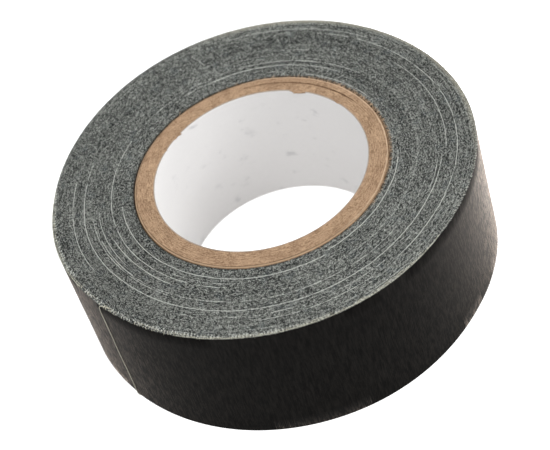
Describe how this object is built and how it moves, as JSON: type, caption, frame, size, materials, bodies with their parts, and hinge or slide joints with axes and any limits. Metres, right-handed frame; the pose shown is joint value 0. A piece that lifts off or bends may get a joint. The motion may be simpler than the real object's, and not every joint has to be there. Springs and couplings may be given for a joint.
{
  "type": "adhesive tape roll",
  "caption": "Roll of black cloth adhesive tape wound on a paper tube core with a white liner, with a loose thread along its torn end.",
  "frame": {"origin": "on the roll's axis, in the plane of the core's lower end", "axes": "+Z along the roll's axis to the core's upper end; the tape's torn end is at azimuth 208.3 degrees, counted from +X towards +Y, and the tape winds on towards increasing azimuth"},
  "size_m": [0.1501, 0.1503, 0.0509],
  "materials": {
    "white_paper": "smooth matt white paper",
    "kraft_paper": "cut kraft paperboard",
    "brown_paper": "brown kraft paper, worn at its edges",
    "tape_edge": "slit edges of cloth tape, grey-green speckle",
    "film": "black polyethylene film with the cloth's weave showing through",
    "cloth": "woven cotton cloth",
    "adhesive": "dark grey tacky adhesive",
    "cotton_thread": "cream cotton",
    "cotton_yarn": "pale grey cotton"
  },
  "bodies": {
    "roll": {"core_liner": "white_paper", "core_ply_1": "kraft_paper", "core_ply_2": "kraft_paper", "core_ply_3": "kraft_paper", "core_ply_4": "kraft_paper", "core_ply_5": "kraft_paper", "core_ply_6": "kraft_paper", "core_ply_7": "kraft_paper", "core_ply_8": "kraft_paper", "core_outer_ply": "brown_paper", "tape_windings": "tape_edge", "outer_wrap_film": "film", "outer_wrap_cloth": "cloth", "outer_wrap_adhesive": "adhesive", "edge_yarns_top": "cotton_yarn", "edge_yarns_bottom": "cotton_yarn"},
    "tab_1": {"tab_film_1": "film", "tab_cloth_1": "cloth", "tab_adhesive_1": "adhesive"},
    "tab_2": {"tab_film_2": "film", "tab_cloth_2": "cloth", "tab_adhesive_2": "adhesive"},
    "tab_3": {"tab_film_3": "film", "tab_cloth_3": "cloth", "tab_adhesive_3": "adhesive"},
    "tab_4": {"tab_film_4": "film", "tab_cloth_4": "cloth", "tab_adhesive_4": "adhesive"},
    "tab_5": {"tab_film_5": "film", "tab_cloth_5": "cloth", "tab_adhesive_5": "adhesive"},
    "tab_6": {"tab_film_6": "film", "tab_cloth_6": "cloth", "tab_adhesive_6": "adhesive", "end_thread": "cotton_thread"}
  },
  "joints": [
    {"name": "peel_1", "type": "hinge", "parent": "roll", "child": "tab_1", "pos_m": [-0.04603, -0.05952, 0.0253], "axis": [0, 0, 1], "range_deg": [0, 25]},
    {"name": "peel_2", "type": "hinge", "parent": "tab_1", "child": "tab_2", "pos_m": [-0.05007, -0.05617, 0.0253], "axis": [0, 0, 1], "range_deg": [0, 25]},
    {"name": "peel_3", "type": "hinge", "parent": "tab_2", "child": "tab_3", "pos_m": [-0.05387, -0.05254, 0.0253], "axis": [0, 0, 1], "range_deg": [0, 25]},
    {"name": "peel_4", "type": "hinge", "parent": "tab_3", "child": "tab_4", "pos_m": [-0.0574, -0.04866, 0.0253], "axis": [0, 0, 1], "range_deg": [0, 25]},
    {"name": "peel_5", "type": "hinge", "parent": "tab_4", "child": "tab_5", "pos_m": [-0.06065, -0.04454, 0.0253], "axis": [0, 0, 1], "range_deg": [0, 25]},
    {"name": "peel_6", "type": "hinge", "parent": "tab_5", "child": "tab_6", "pos_m": [-0.06361, -0.04021, 0.0253], "axis": [0, 0, 1], "range_deg": [0, 25]}
  ],
  "couplings": [
    {"joint": "peel_2", "follows": "peel_1", "ratio": 1},
    {"joint": "peel_3", "follows": "peel_1", "ratio": 1},
    {"joint": "peel_4", "follows": "peel_1", "ratio": 1},
    {"joint": "peel_5", "follows": "peel_1", "ratio": 1},
    {"joint": "peel_6", "follows": "peel_1", "ratio": 1}
  ]
}
